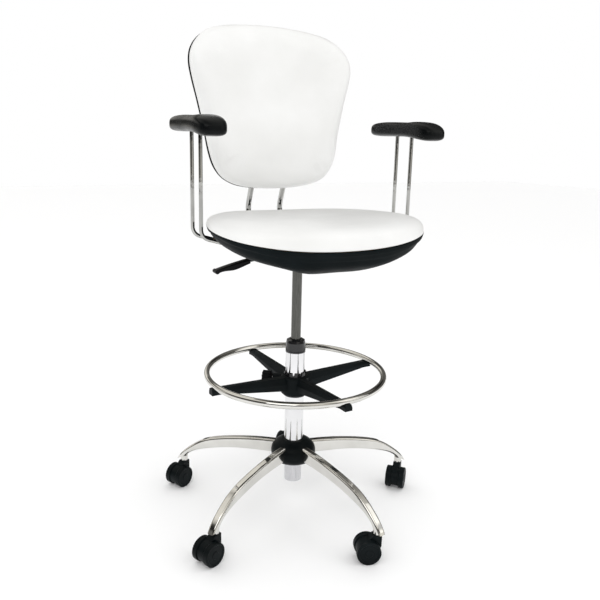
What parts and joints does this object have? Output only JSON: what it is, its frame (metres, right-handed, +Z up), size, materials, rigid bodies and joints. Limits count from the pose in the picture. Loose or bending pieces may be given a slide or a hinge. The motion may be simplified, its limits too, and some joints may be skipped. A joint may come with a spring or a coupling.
{
  "type": "drafting chair",
  "caption": "Tall drafting chair: white upholstered seat and back, looped chrome arms, gas lift column with foot ring, and a swan-neck base on twin-wheel casters.",
  "frame": {"origin": "on the floor, on the axis of the column", "axes": "+Z up along the column, -Y towards the front of the seat, +X to the sitter's left"},
  "size_m": [0.7464, 0.7261, 1.3867],
  "materials": {
    "leg_chrome": "polished chrome plate",
    "sleeve_chrome": "polished chrome plate",
    "ring_chrome": "polished chrome plate",
    "rod_chrome": "bright chrome plate",
    "satin_tube": "satin",
    "cylinder_grey": "satin dark grey",
    "bearing_steel": "ground",
    "zinc_steel": "zinc plated",
    "caster_steel": "plated",
    "black_steel": "black powder coat",
    "black_hub": "fine texture",
    "black_collar": "semi gloss",
    "caster_hood": "satin",
    "wheel_nylon": "satin nylon",
    "bush_nylon": "natural nylon",
    "liner_black": "moulded nylon",
    "spider_black": "fine texture",
    "knob_black": "ribbed",
    "handle_black": "satin",
    "seat_shell_black": "fine grain",
    "back_shell_black": "fine grain",
    "pad_black": "integral skin foam, satin",
    "plywood": "bare ply",
    "vinyl_white": "coated upholstery vinyl"
  },
  "bodies": {
    "base": {"base_hub": "black_hub", "base_leg_1": "leg_chrome", "base_leg_2": "leg_chrome", "base_leg_3": "leg_chrome", "base_leg_4": "leg_chrome", "base_leg_5": "leg_chrome", "hub_bolts": "zinc_steel", "column_tube": "satin_tube", "column_sleeve": "sleeve_chrome", "column_collar": "black_collar", "guide_bush": "bush_nylon", "thrust_bearing": "bearing_steel"},
    "caster_1": {"caster_1_hood": "caster_hood", "caster_1_pins": "caster_steel"},
    "caster_1_wheel_left": {"caster_1_wheel_left": "wheel_nylon"},
    "caster_1_wheel_right": {"caster_1_wheel_right": "wheel_nylon"},
    "caster_2": {"caster_2_hood": "caster_hood", "caster_2_pins": "caster_steel"},
    "caster_2_wheel_left": {"caster_2_wheel_left": "wheel_nylon"},
    "caster_2_wheel_right": {"caster_2_wheel_right": "wheel_nylon"},
    "caster_3": {"caster_3_hood": "caster_hood", "caster_3_pins": "caster_steel"},
    "caster_3_wheel_left": {"caster_3_wheel_left": "wheel_nylon"},
    "caster_3_wheel_right": {"caster_3_wheel_right": "wheel_nylon"},
    "caster_4": {"caster_4_hood": "caster_hood", "caster_4_pins": "caster_steel"},
    "caster_4_wheel_left": {"caster_4_wheel_left": "wheel_nylon"},
    "caster_4_wheel_right": {"caster_4_wheel_right": "wheel_nylon"},
    "caster_5": {"caster_5_hood": "caster_hood", "caster_5_pins": "caster_steel"},
    "caster_5_wheel_left": {"caster_5_wheel_left": "wheel_nylon"},
    "caster_5_wheel_right": {"caster_5_wheel_right": "wheel_nylon"},
    "piston_rod": {"piston_rod": "bearing_steel", "rod_clip": "zinc_steel"},
    "seat": {"gas_cylinder": "cylinder_grey", "rod_guide": "bush_nylon", "mechanism_plate": "black_steel", "seat_bolts": "zinc_steel", "seat_board": "plywood", "seat_shell": "seat_shell_black", "seat_cushion": "vinyl_white", "arm_rods": "rod_chrome", "arm_brackets": "black_steel", "arm_inserts": "black_steel", "arm_pad_left": "pad_black", "arm_pad_right": "pad_black", "back_posts": "rod_chrome", "back_bracket": "black_steel", "back_board": "plywood", "back_shell": "back_shell_black", "back_cushion": "vinyl_white", "back_screws": "zinc_steel"},
    "release_pin": {"release_pin": "bearing_steel"},
    "height_lever": {"lever_rod": "black_steel", "lever_handle": "handle_black"},
    "footring_sleeve": {"footring_sleeve": "liner_black"},
    "footring": {"footring_ring": "ring_chrome", "footring_spider": "spider_black"},
    "clamp_knob": {"clamp_knob": "knob_black", "clamp_screw": "zinc_steel"}
  },
  "joints": [
    {"name": "caster_1_swivel", "type": "hinge", "parent": "base", "child": "caster_1", "pos_m": [0.35324, -0.03526, 0.075], "axis": [0, 0, 1], "continuous": true},
    {"name": "caster_1_left_roll", "type": "hinge", "parent": "caster_1", "child": "caster_1_wheel_left", "pos_m": [0.33663, -0.05258, 0.032], "axis": [-0.7218, 0.6921, 0], "continuous": true},
    {"name": "caster_1_right_roll", "type": "hinge", "parent": "caster_1", "child": "caster_1_wheel_right", "pos_m": [0.33663, -0.05258, 0.032], "axis": [-0.7218, 0.6921, 0], "continuous": true},
    {"name": "caster_2_swivel", "type": "hinge", "parent": "base", "child": "caster_2", "pos_m": [0.14269, 0.32506, 0.075], "axis": [0, 0, 1], "continuous": true},
    {"name": "caster_2_left_roll", "type": "hinge", "parent": "caster_2", "child": "caster_2_wheel_left", "pos_m": [0.12431, 0.30963, 0.032], "axis": [-0.6428, 0.766, 0], "continuous": true},
    {"name": "caster_2_right_roll", "type": "hinge", "parent": "caster_2", "child": "caster_2_wheel_right", "pos_m": [0.12431, 0.30963, 0.032], "axis": [-0.6428, 0.766, 0], "continuous": true},
    {"name": "caster_3_swivel", "type": "hinge", "parent": "base", "child": "caster_3", "pos_m": [-0.26506, 0.23616, 0.075], "axis": [0, 0, 1], "continuous": true},
    {"name": "caster_3_left_roll", "type": "hinge", "parent": "caster_3", "child": "caster_3_wheel_left", "pos_m": [-0.2859, 0.22427, 0.032], "axis": [-0.4955, 0.8686, 0], "continuous": true},
    {"name": "caster_3_right_roll", "type": "hinge", "parent": "caster_3", "child": "caster_3_wheel_right", "pos_m": [-0.2859, 0.22427, 0.032], "axis": [-0.4955, 0.8686, 0], "continuous": true},
    {"name": "caster_4_swivel", "type": "hinge", "parent": "base", "child": "caster_4", "pos_m": [-0.30651, -0.17911, 0.075], "axis": [0, 0, 1], "continuous": true},
    {"name": "caster_4_left_roll", "type": "hinge", "parent": "caster_4", "child": "caster_4_wheel_left", "pos_m": [-0.32841, -0.18891, 0.032], "axis": [-0.4083, 0.9128, 0], "continuous": true},
    {"name": "caster_4_right_roll", "type": "hinge", "parent": "caster_4", "child": "caster_4_wheel_right", "pos_m": [-0.32841, -0.18891, 0.032], "axis": [-0.4083, 0.9128, 0], "continuous": true},
    {"name": "caster_5_swivel", "type": "hinge", "parent": "base", "child": "caster_5", "pos_m": [0.07563, -0.34685, 0.075], "axis": [0, 0, 1], "continuous": true},
    {"name": "caster_5_left_roll", "type": "hinge", "parent": "caster_5", "child": "caster_5_wheel_left", "pos_m": [0.053, -0.33884, 0.032], "axis": [0.3338, 0.9426, 0], "continuous": true},
    {"name": "caster_5_right_roll", "type": "hinge", "parent": "caster_5", "child": "caster_5_wheel_right", "pos_m": [0.053, -0.33884, 0.032], "axis": [0.3338, 0.9426, 0], "continuous": true},
    {"name": "seat_swivel", "type": "hinge", "parent": "base", "child": "piston_rod", "pos_m": [0, 0, 0.09], "axis": [0, 0, 1], "continuous": true},
    {"name": "seat_lift", "type": "slide", "parent": "piston_rod", "child": "seat", "axis": [0, 0, 1], "range_m": [-0.18, 0.06]},
    {"name": "lever_lift", "type": "hinge", "parent": "seat", "child": "height_lever", "pos_m": [-0.038, 0, 0.752], "axis": [0, 1, 0], "range_deg": [0, 4.5], "stiffness_Nm_per_rad": 6, "springref_deg": -5.73},
    {"name": "release_pin_travel", "type": "slide", "parent": "seat", "child": "release_pin", "axis": [0, 0, 1], "range_m": [-0.0035, 0]},
    {"name": "footring_height", "type": "slide", "parent": "base", "child": "footring_sleeve", "axis": [0, 0, 1], "range_m": [-0.09, 0.05]},
    {"name": "footring_turn", "type": "hinge", "parent": "footring_sleeve", "child": "footring", "pos_m": [0, 0, 0.409], "axis": [0, 0, 1], "continuous": true},
    {"name": "clamp_knob_turn", "type": "hinge", "parent": "footring", "child": "clamp_knob", "pos_m": [-0.06128, 0.05142, 0.386], "axis": [-0.766, 0.6428, 0], "continuous": true}
  ],
  "couplings": [
    {"joint": "release_pin_travel", "follows": "lever_lift", "m_per_rad": -0.038}
  ]
}
